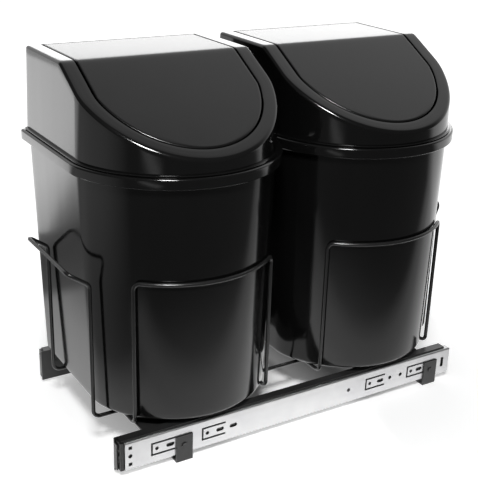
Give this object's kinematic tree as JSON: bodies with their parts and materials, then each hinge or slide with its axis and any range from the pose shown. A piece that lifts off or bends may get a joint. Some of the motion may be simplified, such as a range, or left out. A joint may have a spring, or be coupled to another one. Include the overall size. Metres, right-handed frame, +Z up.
{
  "type": "pull out bin frame",
  "caption": "Pull-out waste bin frame: ball bearing slides on floor strips carry a wire cradle frame with a pull handle and lidded D-plan bins with swing flaps.",
  "frame": {"origin": "on the cabinet floor, at the centre of the floor screw pattern", "axes": "+Z up, -Y the way the frame pulls out, +X the side that the sloping flaps face"},
  "size_m": [0.2622, 0.4995, 0.4164],
  "materials": {
    "zinc_steel": "zinc plated, satin",
    "ball_steel": "polished",
    "black_plastic": "satin",
    "black_sheet": "black powder coat",
    "black_wire": "black coat, semi gloss",
    "bin_plastic": "high gloss",
    "flap_plastic": "satin"
  },
  "bodies": {
    "cabinet_fixing": {"right_cabinet_rail": "zinc_steel", "left_cabinet_rail": "zinc_steel", "right_rear_buffer": "black_plastic", "left_rear_buffer": "black_plastic", "front_floor_strip": "black_sheet", "rear_floor_strip": "black_sheet", "strip_rivets": "black_sheet"},
    "pull_frame": {"right_drawer_rail": "zinc_steel", "left_drawer_rail": "zinc_steel", "right_side_rail": "black_sheet", "left_side_rail": "black_sheet", "front_cross_plate": "black_sheet", "rear_cross_plate": "black_sheet", "rail_rivets": "black_sheet", "long_wire": "black_wire", "front_cradle": "black_wire", "rear_cradle": "black_wire"},
    "right_middle_set": {"right_middle_rail": "zinc_steel", "right_middle_cap": "black_plastic"},
    "right_outer_cage_set": {"right_outer_cage": "zinc_steel", "right_outer_balls": "ball_steel"},
    "right_inner_cage_set": {"right_inner_cage": "zinc_steel", "right_inner_balls": "ball_steel"},
    "left_middle_set": {"left_middle_rail": "zinc_steel", "left_middle_cap": "black_plastic"},
    "left_outer_cage_set": {"left_outer_cage": "zinc_steel", "left_outer_balls": "ball_steel"},
    "left_inner_cage_set": {"left_inner_cage": "zinc_steel", "left_inner_balls": "ball_steel"},
    "front_bin_set": {"front_bin": "bin_plastic"},
    "front_lid_set": {"front_lid": "bin_plastic"},
    "front_flap_set": {"front_flap": "flap_plastic"},
    "rear_bin_set": {"rear_bin": "bin_plastic"},
    "rear_lid_set": {"rear_lid": "bin_plastic"},
    "rear_flap_set": {"rear_flap": "flap_plastic"}
  },
  "joints": [
    {"name": "frame_pull", "type": "slide", "parent": "cabinet_fixing", "child": "pull_frame", "axis": [0, -1, 0], "range_m": [0, 0.4]},
    {"name": "right_middle_slide", "type": "slide", "parent": "cabinet_fixing", "child": "right_middle_set", "axis": [0, -1, 0], "range_m": [0, 0.2]},
    {"name": "right_outer_cage_slide", "type": "slide", "parent": "cabinet_fixing", "child": "right_outer_cage_set", "axis": [0, -1, 0], "range_m": [0, 0.1]},
    {"name": "right_inner_cage_slide", "type": "slide", "parent": "cabinet_fixing", "child": "right_inner_cage_set", "axis": [0, -1, 0], "range_m": [0, 0.3]},
    {"name": "left_middle_slide", "type": "slide", "parent": "cabinet_fixing", "child": "left_middle_set", "axis": [0, -1, 0], "range_m": [0, 0.2]},
    {"name": "left_outer_cage_slide", "type": "slide", "parent": "cabinet_fixing", "child": "left_outer_cage_set", "axis": [0, -1, 0], "range_m": [0, 0.1]},
    {"name": "left_inner_cage_slide", "type": "slide", "parent": "cabinet_fixing", "child": "left_inner_cage_set", "axis": [0, -1, 0], "range_m": [0, 0.3]},
    {"name": "front_bin_lift", "type": "slide", "parent": "pull_frame", "child": "front_bin_set", "axis": [0, 0, 1], "range_m": [0, 0.25]},
    {"name": "front_lid_lift", "type": "slide", "parent": "front_bin_set", "child": "front_lid_set", "axis": [0, 0, 1], "range_m": [0, 0.12]},
    {"name": "front_flap_swing", "type": "hinge", "parent": "front_lid_set", "child": "front_flap_set", "pos_m": [0.00235, -0.1393, 0.40245], "axis": [0, 1, 0], "range_deg": [-50, 60]},
    {"name": "rear_bin_lift", "type": "slide", "parent": "pull_frame", "child": "rear_bin_set", "axis": [0, 0, 1], "range_m": [0, 0.25]},
    {"name": "rear_lid_lift", "type": "slide", "parent": "rear_bin_set", "child": "rear_lid_set", "axis": [0, 0, 1], "range_m": [0, 0.12]},
    {"name": "rear_flap_swing", "type": "hinge", "parent": "rear_lid_set", "child": "rear_flap_set", "pos_m": [0.00235, 0.1013, 0.40245], "axis": [0, 1, 0], "range_deg": [-50, 60]}
  ],
  "couplings": [
    {"joint": "right_middle_slide", "follows": "frame_pull", "ratio": 0.5},
    {"joint": "right_outer_cage_slide", "follows": "frame_pull", "ratio": 0.25},
    {"joint": "right_inner_cage_slide", "follows": "frame_pull", "ratio": 0.75},
    {"joint": "left_middle_slide", "follows": "frame_pull", "ratio": 0.5},
    {"joint": "left_outer_cage_slide", "follows": "frame_pull", "ratio": 0.25},
    {"joint": "left_inner_cage_slide", "follows": "frame_pull", "ratio": 0.75}
  ]
}
